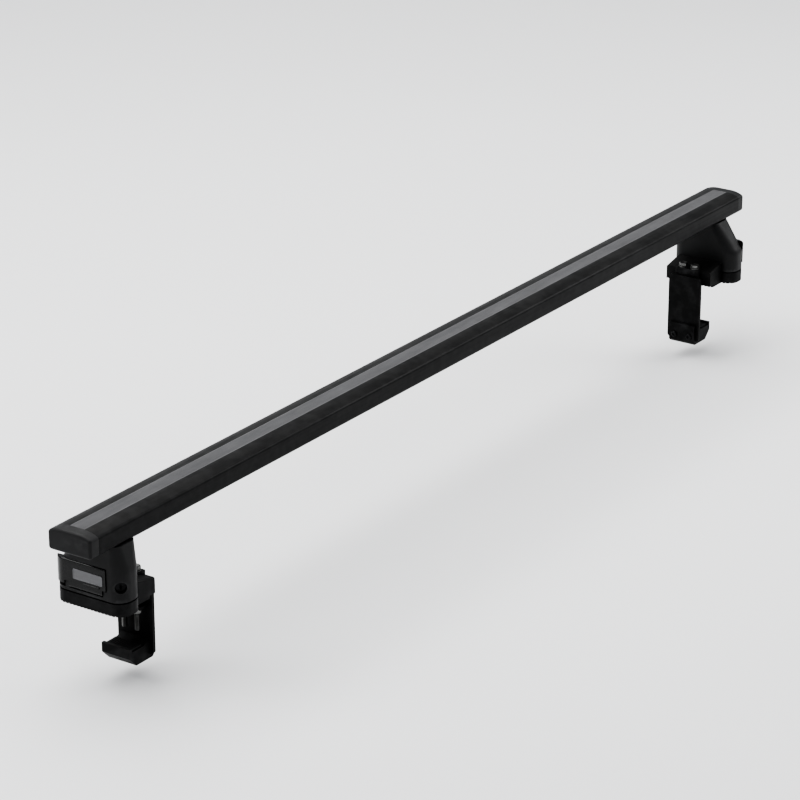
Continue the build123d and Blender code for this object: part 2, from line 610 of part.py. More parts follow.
with BuildPart() as left_jaw_screws:
    for y in JAW_SCREWS_Y:
        with BuildSketch(Plane.YZ.offset(-JAW_CHEEK)):
            with Locations((y, above_rail(JAW_SCREW_Z))):
                Circle(M6 / 2)
        extrude(amount=-JAW_SCREW_LENGTH)
        with BuildSketch(Plane.YZ.offset(-JAW_CHEEK)):
            with Locations((y, above_rail(JAW_SCREW_Z))):
                Circle(JAW_SCREW_HEAD_RADIUS)
        extrude(amount=JAW_SCREW_HEAD)
        with BuildSketch(Plane.YZ.offset(JAW_SCREW_HEAD - JAW_CHEEK)):
            with Locations((y, above_rail(JAW_SCREW_Z))):
                RegularPolygon(JAW_SOCKET_RADIUS, 6)
        extrude(amount=-JAW_SOCKET, mode=Mode.SUBTRACT)

with BuildPart() as left_bolt_washers:
    with BuildSketch(Plane.XY.offset(above_rail(NOSE_TOP))):
        for y in BOLTS_Y:
            with Locations((-BOLT_X, y)):
                Circle(M8_WASHER_RADIUS)
                Circle(M8 / 2 + BOLT_GAP, mode=Mode.SUBTRACT)
    extrude(amount=M8_WASHER)


BOLT_TIP_CHAMFER = 1.0


def tension_bolt(y):
    """Hexagon-head bolt that pulls the clamp plate up, at this Y."""
    with BuildPart() as bolt:
        with BuildSketch(Plane.XY.offset(above_rail(NOSE_TOP + M8_WASHER + SLIDE_GAP))):
            with Locations((-BOLT_X, y)):
                RegularPolygon(M8_FLATS / 2, 6, major_radius=False)
        extrude(amount=M8_HEAD)
        with BuildSketch(Plane.XY.offset(above_rail(NOSE_TOP + M8_WASHER + SLIDE_GAP))):
            with Locations((-BOLT_X, y)):
                Circle(M8 / 2)
        extrude(amount=-BOLT_LENGTH)
        chamfer(bolt.faces().sort_by(Axis.Z)[0].edges(), BOLT_TIP_CHAMFER)
    return bolt


left_tension_bolt_a = tension_bolt(BOLTS_Y[0])
left_tension_bolt_b = tension_bolt(BOLTS_Y[1])


# ---- Write every piece ------------------------------------------------------------------------

os.makedirs("parts", exist_ok=True)

with BuildPart() as end_cap_right:
    add(end_cap_left.part, rotation=(0, 0, 180))

bar_pieces = {
    "load_bar": load_bar,
    "top_strip": top_strip,
    "end_cap_left": end_cap_left,
    "end_cap_right": end_cap_right,
}
for name, piece in bar_pieces.items():
    piece.part.label = name
    export_step(piece.part, f"parts/{name}.step")

foot_pieces = {
    "rail_pad": left_rail_pad,
    "foot_base": left_foot_base,
    "foot_body": left_foot_body,
    "base_screws": left_base_screws,
    "t_bolts": left_t_bolts,
    "t_bolt_nuts": left_t_bolt_nuts,
    "cover": left_cover,
    "badge": left_badge,
    "cover_pin": left_cover_pin,
    "lock_cylinder": left_lock_cylinder,
    "lock_cam": left_lock_cam,
    "clamp_plate": left_clamp_plate,
    "weld_nuts": left_weld_nuts,
    "clamp_jaw": left_clamp_jaw,
    "jaw_pad": left_jaw_pad,
    "jaw_screws": left_jaw_screws,
    "bolt_washers": left_bolt_washers,
    "tension_bolt_a": left_tension_bolt_a,
    "tension_bolt_b": left_tension_bolt_b,
}
for name, piece in foot_pieces.items():
    piece.part.label = f"left_{name}"
    export_step(piece.part, f"parts/left_{name}.step")
    with BuildPart() as turned:
        add(piece.part, rotation=(0, 0, 180))
    turned.part.label = f"right_{name}"
    export_step(turned.part, f"parts/right_{name}.step")
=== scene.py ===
import json
import math

import bmesh
import bpy
from mathutils import Matrix, Vector


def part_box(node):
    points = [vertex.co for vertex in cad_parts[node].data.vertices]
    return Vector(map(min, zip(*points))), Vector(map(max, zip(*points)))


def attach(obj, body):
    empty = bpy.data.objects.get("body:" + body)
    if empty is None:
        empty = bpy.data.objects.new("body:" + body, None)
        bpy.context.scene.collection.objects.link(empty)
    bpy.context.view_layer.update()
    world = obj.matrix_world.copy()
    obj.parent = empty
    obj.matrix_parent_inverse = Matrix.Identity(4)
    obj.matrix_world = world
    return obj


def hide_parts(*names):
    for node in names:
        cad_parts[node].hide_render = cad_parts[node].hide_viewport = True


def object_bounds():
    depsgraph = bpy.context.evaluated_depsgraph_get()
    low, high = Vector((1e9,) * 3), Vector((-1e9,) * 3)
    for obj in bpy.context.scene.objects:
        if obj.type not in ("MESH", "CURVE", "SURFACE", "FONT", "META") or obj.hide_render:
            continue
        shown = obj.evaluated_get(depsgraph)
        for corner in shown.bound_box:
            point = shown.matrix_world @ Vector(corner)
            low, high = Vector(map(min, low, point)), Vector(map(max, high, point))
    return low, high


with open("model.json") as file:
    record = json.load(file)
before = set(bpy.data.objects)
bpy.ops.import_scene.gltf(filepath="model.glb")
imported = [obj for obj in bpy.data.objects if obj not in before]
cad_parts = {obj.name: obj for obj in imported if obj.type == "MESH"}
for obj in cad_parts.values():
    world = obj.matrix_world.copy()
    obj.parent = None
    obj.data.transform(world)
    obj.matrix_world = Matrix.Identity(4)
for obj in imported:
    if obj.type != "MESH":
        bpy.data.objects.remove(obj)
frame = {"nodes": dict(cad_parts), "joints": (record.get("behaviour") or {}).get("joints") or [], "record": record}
CAD_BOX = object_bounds()

# Row frame: +X along the bar to the right rail, +Y to the cab, +Z up, origin in the load face's middle.
# Every length is in metres.

MM = 0.001
SLOT_OF = {entry["node"]: entry["material_slot"] for entry in frame["record"]["subparts"]}
BODY_OF = {node: body for body, nodes in frame["record"]["behaviour"]["bodies"].items() for node in nodes}

# sizes that the detailed pieces share with the CAD model
RAIL_Z = -133 * MM
TOWER_OUT = 826.5 * MM
TOWER_DEPTH = 46 * MM
TOWER_CORNER = 20 * MM
BASE_TOP = 20 * MM
NECK_TOP = 99.8 * MM
M8 = 8 * MM
M8_FLATS = 13 * MM
M8_HEAD = 5.3 * MM
M6 = 6 * MM
T_HEAD = 14 * MM
T_HEAD_HEIGHT = 5.5 * MM

# sizes of the looks only
SKIN = 0.1 * MM  # how far the moulded surface lies inside the CAD solid
THREAD_PITCH = 1.25 * MM
THREAD_DEPTH = 0.65 * MM


# ---- Materials ---------------------------------------------------------------------------

class Look:
    """A procedural material on one Principled shader, in the part's own coordinates."""

    def __init__(self, name, metallic=0.0, specular=0.5, coat=0.0, coat_roughness=0.1):
        self.material = bpy.data.materials.new(name)
        self.material.use_nodes = True
        self.tree = self.material.node_tree
        self.shader = self.tree.nodes["Principled BSDF"]
        self.shader.inputs["Metallic"].default_value = metallic
        self.shader.inputs["Specular IOR Level"].default_value = specular
        self.shader.inputs["Coat Weight"].default_value = coat
        self.shader.inputs["Coat Roughness"].default_value = coat_roughness
        self.place = self.node("ShaderNodeTexCoord").outputs["Object"]
        self.geometry = self.node("ShaderNodeNewGeometry")
        self.normal = None

    def node(self, kind, **values):
        made = self.tree.nodes.new(kind)
        for key, value in values.items():
            setattr(made, key, value)
        return made

    def link(self, source, target):
        self.tree.links.new(source, target)

    def stretched(self, scale):
        """Coordinates in metres, multiplied by a scale for each axis."""
        mapping = self.node("ShaderNodeMapping")
        mapping.inputs["Scale"].default_value = scale
        self.link(self.place, mapping.inputs["Vector"])
        return mapping.outputs["Vector"]

    def noise(self, scale, detail=3.0, roughness=0.55):
        texture = self.node("ShaderNodeTexNoise")
        texture.inputs["Scale"].default_value = 1.0
        texture.inputs["Detail"].default_value = detail
        texture.inputs["Roughness"].default_value = roughness
        self.link(self.stretched(scale), texture.inputs["Vector"])
        return texture.outputs["Fac"]

    def cells(self, scale):
        texture = self.node("ShaderNodeTexVoronoi")
        texture.inputs["Scale"].default_value = 1.0
        self.link(self.stretched(scale), texture.inputs["Vector"])
        return texture.outputs["Distance"]

    def ramp(self, fac, stops):
        """stops: (position, value or colour)."""
        ramp = self.node("ShaderNodeValToRGB")
        elements = ramp.color_ramp.elements
        while len(elements) < len(stops):
            elements.new(0.5)
        for element, (position, value) in zip(elements, stops):
            element.position = position
            colour = (value,) * 3 if isinstance(value, (int, float)) else value
            element.color = (*colour, 1.0)
        self.link(fac, ramp.inputs["Fac"])
        return ramp.outputs["Color"]

    def mix(self, fac, a, b, blend="MIX"):
        mixer = self.node("ShaderNodeMix", data_type="RGBA", blend_type=blend)
        for socket, value in ((mixer.inputs[0], fac), (mixer.inputs[6], a), (mixer.inputs[7], b)):
            if isinstance(value, bpy.types.NodeSocket):
                self.link(value, socket)
            elif isinstance(value, (int, float)):
                socket.default_value = value
            else:
                socket.default_value = (*value, 1.0)
        return mixer.outputs[2]

    def times(self, a, b):
        node = self.node("ShaderNodeMath", operation="MULTIPLY")
        for socket, value in zip(node.inputs, (a, b)):
            if isinstance(value, bpy.types.NodeSocket):
                self.link(value, socket)
            else:
                socket.default_value = value
        return node.outputs[0]

    def worn_edges(self, amount):
        """How much an edge is rubbed: the convex edges, broken up by noise."""
        edges = self.ramp(self.geometry.outputs["Pointiness"], ((0.52, 0.0), (0.62, 1.0)))
        patches = self.ramp(self.noise((55, 55, 55), detail=5.0), ((0.42, 0.0), (0.62, 1.0)))
        return self.times(self.times(edges, patches), amount)

    def settled_dust(self, amount):
        """How dusty a face is: only those that look up, in soft patches."""
        split = self.node("ShaderNodeSeparateXYZ")
        self.link(self.geometry.outputs["Normal"], split.inputs[0])
        up = self.ramp(split.outputs["Z"], ((0.6, 0.0), (0.98, 1.0)))
        cloud = self.noise((13, 35, 35), detail=6.0, roughness=0.65)
        patches = self.ramp(cloud, ((0.35, 0.25), (0.7, 1.0)))
        return self.times(self.times(up, patches), amount)

    def colour(self, socket):
        self.link(socket, self.shader.inputs["Base Color"])

    def roughness(self, socket):
        self.link(socket, self.shader.inputs["Roughness"])

    def bump(self, height, strength, distance):
        node = self.node("ShaderNodeBump")
        node.inputs["Strength"].default_value = strength
        node.inputs["Distance"].default_value = distance
        self.link(height, node.inputs["Height"])
        if self.normal:
            self.link(self.normal, node.inputs["Normal"])
        self.normal = node.outputs["Normal"]
        self.link(self.normal, self.shader.inputs["Normal"])


DUST = (0.16, 0.155, 0.145)
PLASTIC_GRAIN = 0.0006
PLASTIC_GRAIN_DEPTH = 0.00006


def grey(value, blue=1.03):
    return (value, value, value * blue)


def moulded_plastic(name, dark, light, rough):
    """Grained moulded plastic, rubbed lighter along its edges."""
    look = Look(name, specular=0.25)
    base = look.ramp(look.noise((18, 18, 18), detail=4.0), ((0.3, dark), (0.7, light)))
    rubbed = look.mix(look.worn_edges(0.5), base, tuple(3 * c + 0.01 for c in light))
    look.colour(look.mix(look.settled_dust(0.05), rubbed, DUST))
    patches = look.noise((40, 40, 40), detail=5.0)
    look.roughness(look.ramp(patches, ((0.25, rough[0]), (0.75, rough[1]))))
    size = 1 / PLASTIC_GRAIN
    look.bump(look.cells((size, size, size)), 0.55, PLASTIC_GRAIN_DEPTH)
    look.bump(look.noise((size / 3, size / 3, size / 3), detail=2.0), 0.25, PLASTIC_GRAIN_DEPTH)
    return look.material


def gloss_plastic(name, dark, light):
    """Polished black cover: faint swirls of fine scratches in a hard glossy skin."""
    look = Look(name, specular=0.25, coat=0.15, coat_roughness=0.05)
    base = look.ramp(look.noise((22, 22, 22), detail=5.0), ((0.3, dark), (0.7, light)))
    look.colour(look.mix(look.worn_edges(0.35), base, (0.03, 0.03, 0.031)))
    scratches = look.noise((180, 180, 2600), detail=2.0, roughness=0.7)
    haze = look.noise((70, 70, 70), detail=6.0)
    fine = look.ramp(scratches, ((0.45, 0.0), (0.62, 0.12)))
    look.roughness(look.mix(1.0, look.ramp(haze, ((0.3, 0.16), (0.7, 0.26))), fine, "ADD"))
    look.bump(scratches, 0.05, 0.00002)
    look.bump(look.noise((900, 900, 900), detail=2.0), 0.06, 0.00002)
    return look.material


def anodised(name):
    """Black anodised extrusion with faint drawing lines along the bar."""
    look = Look(name, metallic=0.15, specular=0.14)
    lines = look.noise((2.5, 1400, 1400), detail=2.0)
    cloud = look.noise((6, 14, 14), detail=4.0)
    tint = look.ramp(cloud, ((0.3, grey(0.005)), (0.7, grey(0.0068))))
    streak = look.ramp(lines, ((0.35, 0.85), (0.65, 1.15)))
    base = look.mix(1.0, tint, streak, "MULTIPLY")
    rubbed = look.mix(look.worn_edges(0.25), base, (0.09, 0.09, 0.092))
    look.colour(look.mix(look.settled_dust(0.09), rubbed, DUST))
    look.roughness(look.ramp(look.noise((5, 300, 300), detail=5.0), ((0.25, 0.36), (0.75, 0.48))))
    look.bump(lines, 0.12, 0.00004)
    look.bump(look.noise((900, 900, 900), detail=2.0), 0.08, 0.00003)
    return look.material


def rubber(name, dark, light, grain=0.0004, dust=0.12):
    """Matt rubber with a fine tooth and dust in it."""
    look = Look(name, specular=0.25)
    base = look.ramp(look.noise((9, 60, 60), detail=5.0), ((0.3, dark), (0.72, light)))
    look.colour(look.mix(look.settled_dust(dust), base, DUST))
    look.roughness(look.ramp(look.noise((30, 30, 30), detail=4.0), ((0.3, 0.62), (0.7, 0.82))))
    size = 1 / grain
    look.bump(look.noise((size, size, size), detail=3.0), 0.3, 0.00008)
    return look.material


def coated_metal(name, dark, light, rough=(0.42, 0.58), pebble=0.0009, depth=0.00006):
    """Powder-coated metal: an orange-peel surface, rubbed thin along its edges."""
    look = Look(name, specular=0.14)
    base = look.ramp(look.noise((25, 25, 25), detail=5.0), ((0.3, dark), (0.7, light)))
    rubbed = look.mix(look.worn_edges(0.6), base, (0.07, 0.07, 0.072))
    look.colour(look.mix(look.settled_dust(0.05), rubbed, DUST))
    look.roughness(look.ramp(look.noise((60, 60, 60), detail=4.0), ((0.3, rough[0]), (0.7, rough[1]))))
    size = 1 / pebble
    look.bump(look.noise((size, size, size), detail=2.0), 0.4, depth)
    return look.material


def steel(name, dark, light, rough=(0.24, 0.42), turned=(300, 300, 1600)):
    """Bare or plated steel with machining lines across the given stretch."""
    look = Look(name, metallic=1.0)
    fine = look.noise(turned, detail=3.0)
    base = look.ramp(look.noise((120, 120, 120), detail=4.0), ((0.3, dark), (0.7, light)))
    look.colour(look.mix(1.0, base, look.ramp(fine, ((0.3, 0.88), (0.7, 1.08))), "MULTIPLY"))
    look.roughness(look.ramp(look.noise((200, 200, 200), detail=4.0), ((0.3, rough[0]), (0.7, rough[1]))))
    look.bump(fine, 0.1, 0.00003)
    return look.material


MATERIALS = {
    "bar_aluminium": anodised("bar_aluminium"),
    "strip_rubber": rubber("strip_rubber", grey(0.1), grey(0.132)),
    "cap_plastic": moulded_plastic("cap_plastic", grey(0.014), grey(0.019), (0.42, 0.55)),
    "foot_plastic": moulded_plastic("foot_plastic", grey(0.010), grey(0.0145), (0.4, 0.54)),
    "base_metal": coated_metal("base_metal", grey(0.006), grey(0.009)),
    "cover_plastic": gloss_plastic("cover_plastic", grey(0.002), grey(0.003)),
    "badge_metal": steel("badge_metal", grey(0.14), grey(0.15), rough=(0.34, 0.4), turned=(60, 60, 1800)),
    # Painted shade: the lock's metal is made near black, so that the lock cylinder shows as the shade inside its
    # bore.
    "lock_metal": steel("lock_metal", grey(0.012), grey(0.02)),
    "clamp_metal": coated_metal("clamp_metal", grey(0.003), grey(0.005)),
    # Partly painted shade: the fastener steel is a dark zinc-plated grey, made darker still so that the bolt heads
    # under the bar look shaded.
    "fastener_steel": steel("fastener_steel", grey(0.15, 0.98), grey(0.21, 0.97), rough=(0.34, 0.5)),
    "black_steel": steel("black_steel", grey(0.02), grey(0.035)),
    "pad_rubber": rubber("pad_rubber", grey(0.007), grey(0.011), dust=0.03),
}

for node, cad in frame["nodes"].items():
    cad.data.materials.clear()
    cad.data.materials.append(MATERIALS[SLOT_OF[node]])


# ---- Pieces: helpers -----------------------------------------------------------------------

def link_object(name, mesh):
    made = bpy.data.objects.new(name, mesh)
    bpy.context.scene.collection.objects.link(made)
    return made


def stand_for(node, mesh):
    """Shows a mesh in place of a CAD node, on the same body and with the same material slot."""
    piece = link_object(node + "_detailed", mesh)
    mesh.materials.clear()
    mesh.materials.append(MATERIALS[SLOT_OF[node]])
    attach(piece, BODY_OF[node])
    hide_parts(node)


def half_turned(mesh):
    """A copy turned half round about Z, from the left foot to the right one."""
    turned = mesh.copy()
    turned.transform(Matrix.Rotation(math.pi, 4, "Z"))
    return turned


def both_feet(part, mesh):
    """A mesh drawn at the left foot stands for the CAD node of both feet."""
    stand_for("left_" + part, mesh)
    stand_for("right_" + part, half_turned(mesh))


def finished(mesh, sharp_angle=32):
    """Smooth shading that stays crisp over real edges."""
    mesh.polygons.foreach_set("use_smooth", [True] * len(mesh.polygons))
    mesh.set_sharp_from_angle(angle=math.radians(sharp_angle))
    return mesh


def mesh_from(bm):
    mesh = bpy.data.meshes.new("piece")
    bmesh.ops.recalc_face_normals(bm, faces=bm.faces)
    bm.to_mesh(mesh)
    bm.free()
    return mesh


def cad_copy(node):
    """The CAD node's mesh as one closed skin with its flat faces whole."""
    bm = bmesh.new()
    bm.from_mesh(frame["nodes"][node].data)
    bmesh.ops.remove_doubles(bm, verts=bm.verts, dist=2e-6)
    bmesh.ops.dissolve_limit(bm, angle_limit=math.radians(0.8), verts=bm.verts, edges=bm.edges)
    return mesh_from(bm)


def centre(node, axis):
    """Middle of a CAD node's box along one axis: 0, 1 or 2."""
    low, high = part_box(node)
    return (low[axis] + high[axis]) / 2


def with_modifiers(mesh, *settings):
    """Applies modifiers to a mesh: each one is (kind, {setting: value})."""
    holder = link_object("holder", mesh)
    for kind, values in settings:
        modifier = holder.modifiers.new(kind.lower(), kind)
        for key, value in values.items():
            setattr(modifier, key, value)
    shown = holder.evaluated_get(bpy.context.evaluated_depsgraph_get())
    result = bpy.data.meshes.new_from_object(shown)
    bpy.data.objects.remove(holder)
    return result


def softened(mesh, width, segments=2, angle=28):
    """Breaks every sharp edge with a small radius, as moulding, casting or deburring does."""
    mesh.polygons.foreach_set("use_smooth", [True] * len(mesh.polygons))
    bevel = {"width": width, "segments": segments, "limit_method": "ANGLE",
             "angle_limit": math.radians(angle), "miter_outer": "MITER_ARC"}
    return with_modifiers(mesh, ("BEVEL", bevel), ("WEIGHTED_NORMAL", {"keep_sharp": True}))


def soft_copy_on_both_feet(part, edge):
    """Shows a part of both feet as its CAD shape with its edges broken."""
    both_feet(part, softened(cad_copy("left_" + part), edge))


def combined(mesh, other, operation):
    """Boolean of two closed meshes."""
    tool = link_object("tool", other)
    settings = {"object": tool, "operation": operation, "solver": "EXACT"}
    result = with_modifiers(mesh, ("BOOLEAN", settings))
    bpy.data.objects.remove(tool)
    return result


def prism(outline, start, end, place):
    """Closed solid between two values of its axis: place(u, v, w) gives the point in the row frame."""
    bm = bmesh.new()
    ends = [[bm.verts.new(place(u, v, w)) for u, v in outline] for w in (start, end)]
    bm.faces.new(ends[0])
    bm.faces.new(ends[1])
    count = len(outline)
    for i in range(count):
        j = (i + 1) % count
        bm.faces.new((ends[0][i], ends[0][j], ends[1][j], ends[1][i]))
    return mesh_from(bm)


def slabs(boxes):
    """One mesh of separate boxes, each (low corner, high corner)."""
    bm = bmesh.new()
    for low, high in boxes:
        middle = (Vector(low) + Vector(high)) / 2
        size = Vector(high) - Vector(low)
        place = Matrix.Translation(middle) @ Matrix.Diagonal((*size, 1.0))
        bmesh.ops.create_cube(bm, size=1.0, matrix=place)
    return mesh_from(bm)


def ringed(rings, place, columns=48, closed=False):
    """Solid round an axis. Each ring is (height, radius), and either may be a function of the angle."""
    bm = bmesh.new()
    loops = []
    for height, radius in rings:
        loop = []
        for i in range(columns):
            turn = math.tau * i / columns
            r = radius(turn) if callable(radius) else radius
            h = height(turn) if callable(height) else height
            loop.append(bm.verts.new(place @ Vector((r * math.cos(turn), r * math.sin(turn), h))))
        loops.append(loop)
    pairs = list(zip(loops, loops[1:]))
    if closed:
        pairs.append((loops[-1], loops[0]))
    else:
        bm.faces.new(loops[0])
        bm.faces.new(loops[-1])
    for low, high in pairs:
        for i in range(columns):
            j = (i + 1) % columns
            bm.faces.new((low[i], low[j], high[j], high[i]))
    return mesh_from(bm)


def joined(meshes):
    """One mesh of several separate ones."""
    bm = bmesh.new()
    for mesh in meshes:
        bm.from_mesh(mesh)
    result = bpy.data.meshes.new("piece")
    bm.to_mesh(result)
    bm.free()
    return result


# ---- Fastener shapes -------------------------------------------------------------------------

CHAMFER_SLOPE = math.tan(math.radians(30))
THREAD_ROWS = 8  # rings in one turn of thread
T_BOLT_NECK = 3 * MM
TENSION_BOLT_NECK = 5 * MM
HEAD_EDGE = 0.97  # radius of a head's rim, as a share of half its flats
DIMPLE_RADIUS = 3.6 * MM
DIMPLE_DEPTH = 0.5 * MM
NUT_BORE = 4.05 * MM
NUT_TURN = math.pi / 6
NUT_EDGE = 0.96
COUNTERSINK = 0.5 * MM
WASHER_RADIUS = 8 * MM
WASHER_BORE = 4.3 * MM
JAW_HEAD = 3.0 * MM
JAW_HEAD_RADIUS = 5.25 * MM
JAW_SOCKET = 2.3 * MM
SOCKET_DEPTH = 1.9 * MM
DOME_RINGS = 7


def hexagon(flats, start=0.0):
    """Radius of a hexagon, by angle, with this size over its flats."""
    def radius(turn):
        return flats / 2 / math.cos((turn - start) % (math.pi / 3) - math.pi / 6)
    return radius


def chamfered(height, hexagonal, flats, sign):
    """Height of the hexagon's edge where a 30-degree chamfer cuts its corners."""
    def at(turn):
        return height - sign * max(0.0, hexagonal(turn) - flats / 2 * 0.99) * CHAMFER_SLOPE
    return at


def thread(major, pitch, depth, height):
    """Radius of a thread's flank, by angle, at one height."""
    def radius(turn):
        wave = math.cos(math.tau * height / pitch - turn)
        return major - depth / 2 + depth / 2 * wave
    return radius


def thread_rings(low, high, major, pitch, depth):
    """Rings of a thread between two heights."""
    rows = int((high - low) / pitch * THREAD_ROWS)
    heights = [low + (high - low) * i / rows for i in range(rows + 1)]
    return [(h, thread(major, pitch, depth, h)) for h in heights]


def square(width):
    """Radius of a square, by angle, with this size over its flats."""
    def radius(turn):
        return width / 2 / math.cos((turn + math.pi / 4) % (math.pi / 2) - math.pi / 4)
    return radius


def shank_rings(tip, neck, seat):
    """M8 shank from its tip up: pointed end, rolled thread, plain neck, fillet under the head."""
    tip_radius = M8 / 2 - THREAD_DEPTH
    rings = [(tip, 0.5 * tip_radius), (tip, tip_radius - 0.3 * MM), (tip + 0.7 * MM, tip_radius)]
    rings += thread_rings(tip + 1.2 * MM, neck, M8 / 2, THREAD_PITCH, THREAD_DEPTH)
    return rings + [(neck + 0.6 * MM, M8 / 2), (seat - 0.3 * MM, M8 / 2), (seat, M8 / 2 + 0.3 * MM)]


def t_bolt(x, y, low, high):
    """Bolt whose square head rides in the lower channel, its thread hanging down."""
    seat = high - T_HEAD_HEIGHT
    full = square(T_HEAD)
    eased = square(T_HEAD - 1.0 * MM)
    rings = shank_rings(low, seat - T_BOLT_NECK, seat)
    rings += [(seat, eased), (seat + 0.5 * MM, full), (high - 0.5 * MM, full), (high, eased)]
    return finished(ringed(rings, Matrix.Translation((x, y, 0))))


def hex_bolt(node):
    """Tension bolt: chamfered head with a forged dimple, plain neck, rolled thread, pointed end."""
    low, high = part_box(node)
    place = Matrix.Translation((centre(node, 0), centre(node, 1), 0))
    flats = M8_FLATS
    six = hexagon(flats)
    seat = high.z - M8_HEAD
    rings = shank_rings(low.z, seat - TENSION_BOLT_NECK, seat)
    rings += [(seat, flats / 2 * 0.95), (seat + 0.4 * MM, flats / 2 * HEAD_EDGE)]
    rings += [(chamfered(seat + 0.5 * MM, six, flats, -1), six), (chamfered(high.z, six, flats, 1), six)]
    rings += [(high.z, flats / 2 * HEAD_EDGE), (high.z, DIMPLE_RADIUS)]
    rings += [(high.z - 0.35 * MM, 3.0 * MM), (high.z - DIMPLE_DEPTH, 1.0 * MM)]
    return finished(ringed(rings, place))


def hex_nut(x, y, low, high, flats):
    """M8 nut with chamfered corners and a countersunk bore."""
    six = hexagon(flats, NUT_TURN)
    rings = [(low, flats / 2 * NUT_EDGE), (chamfered(low, six, flats, -1), six)]
    rings += [(chamfered(high, six, flats, 1), six), (high, flats / 2 * NUT_EDGE)]
    rings += [(high, NUT_BORE + COUNTERSINK), (high - COUNTERSINK, NUT_BORE)]
    rings += [(low + COUNTERSINK, NUT_BORE), (low, NUT_BORE + COUNTERSINK)]
    return finished(ringed(rings, Matrix.Translation((x, y, 0)), closed=True))


def washer(x, y, low, high):
    """Stamped washer: rounded on the punch side, sharper on the other."""
    radius = WASHER_RADIUS
    bore = WASHER_BORE
    rings = [(low, radius - 0.15 * MM), (low + 0.15 * MM, radius), (high - 0.4 * MM, radius)]
    rings += [(high - 0.12 * MM, radius - 0.12 * MM), (high, radius - 0.4 * MM)]
    rings += [(high, bore + 0.3 * MM), (high - 0.3 * MM, bore), (low, bore)]
    return finished(ringed(rings, Matrix.Translation((x, y, 0)), closed=True))


def jaw_screw(x, y, z, length):
    """Button-head M6 screw along +X: its head's face looks inboard."""
    place = Matrix.Translation((x, y, z)) @ Matrix.Rotation(math.pi / 2, 4, "Y")
    six = hexagon(2 * JAW_SOCKET)
    rings = [(-length, 2.2 * MM), (-length + 0.8 * MM, M6 / 2), (0, M6 / 2)]
    rings += [(0, JAW_HEAD_RADIUS - 0.2 * MM), (0.3 * MM, JAW_HEAD_RADIUS)]
    flat = JAW_SOCKET + 1.2 * MM
    for step in range(1, DOME_RINGS + 1):
        turn = math.pi / 2 * step / DOME_RINGS
        height = 0.6 * MM + (JAW_HEAD - 0.6 * MM) * math.sin(turn)
        rings.append((height, flat + (JAW_HEAD_RADIUS - flat) * math.cos(turn)))
    rings += [(JAW_HEAD, JAW_SOCKET * 1.2), (JAW_HEAD - 0.15 * MM, six)]
    rings += [(JAW_HEAD - SOCKET_DEPTH, six), (JAW_HEAD - 2.2 * MM, 0.4 * MM)]
    return finished(ringed(rings, place))


# ---- The bar: extrusion, strip and caps ------------------------------------------------------

STRIP_RIB = 2.4 * MM
STRIP_GROOVE = 0.9 * MM
STRIP_GROOVE_DEPTH = 0.5 * MM
STRIP_EDGE = 0.3 * MM
STRIP_LIP = 1.6 * MM  # thickness of the strip's wide upper part
STRIP_BARB_DEPTH = 4.0 * MM  # from the strip's top down to its barbs
STRIP_NECK = 8.45 * MM  # half width
STRIP_BARB = 10 * MM  # half width
STRIP_FOOT = 8.6 * MM  # half width


def ribbed_strip():
    """Rubber strip with lengthwise ribs, its neck and the barbs that hold it in the slot."""
    low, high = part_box("top_strip")
    half = high.y
    side = [(half, -STRIP_LIP), (STRIP_NECK, -STRIP_LIP), (STRIP_NECK, -STRIP_BARB_DEPTH)]
    side += [(STRIP_BARB, -STRIP_BARB_DEPTH), (STRIP_FOOT, low.z)]
    top = [(-half, -STRIP_EDGE), (-half + STRIP_EDGE, 0.0)]
    count = int((half - STRIP_RIB / 2) / STRIP_RIB)
    for i in range(-count, count + 1):
        middle = i * STRIP_RIB
        top += [(middle - STRIP_GROOVE / 2, 0.0), (middle - STRIP_GROOVE / 4, -STRIP_GROOVE_DEPTH)]
        top += [(middle + STRIP_GROOVE / 4, -STRIP_GROOVE_DEPTH), (middle + STRIP_GROOVE / 2, 0.0)]
    top += [(half - STRIP_EDGE, 0.0), (half, -STRIP_EDGE)]
    outline = top + side + [(-y, z) for y, z in reversed(side)]
    strip = prism(outline, low.x, high.x, lambda y, z, x: Vector((x, y, z)))
    return finished(strip, sharp_angle=20)


stand_for("load_bar", softened(cad_copy("load_bar"), 0.25 * MM))
stand_for("top_strip", ribbed_strip())
for cap in ("end_cap_left", "end_cap_right"):
    stand_for(cap, softened(cad_copy(cap), 0.5 * MM, segments=3))


# ---- The foot: body, base and pad --------------------------------------------------------------

def flank(height, corner_y, corner_height, top_y, radius):
    """Y of a flank at a height over the rail: upright, then an arc, then leaning in to the neck."""
    inward = math.copysign(1.0, top_y - corner_y)
    lean = math.atan(abs(top_y - corner_y) / (NECK_TOP - corner_height))
    start = corner_height - radius * math.tan(lean / 2)
    arc_end = start + radius * math.sin(lean)
    if height <= start:
        return corner_y
    if height <= arc_end:
        return corner_y + inward * (radius - math.sqrt(radius ** 2 - (height - start) ** 2))
    return top_y - inward * (NECK_TOP - height) * math.tan(lean)


def rounded_plan(x_low, x_high, y_low, y_high, radius, steps=10):
    """Points of a rounded rectangle, the same number for every size."""
    corners = ((x_high, y_high, 0), (x_low, y_high, 1), (x_low, y_low, 2), (x_high, y_low, 3))
    points = []
    for x, y, quarter in corners:
        centre_x = x - radius if x == x_high else x + radius
        centre_y = y - radius if y == y_high else y + radius
        for step in range(steps + 1):
            turn = math.pi / 2 * (quarter + step / steps)
            points.append((centre_x + radius * math.cos(turn), centre_y + radius * math.sin(turn)))
    return points


NECK_CORNER = 13 * MM  # plan radius of the foot where it meets the bar
CORNER_CHANGE = 62 * MM  # height where the plan radius starts to tighten
TOWER_LEVELS = 26
TOWER_FOOT_SPARE = 2 * MM  # how far the form runs past the CAD foot, so that the cut is clean
TOWER_NECK_SPARE = 6 * MM

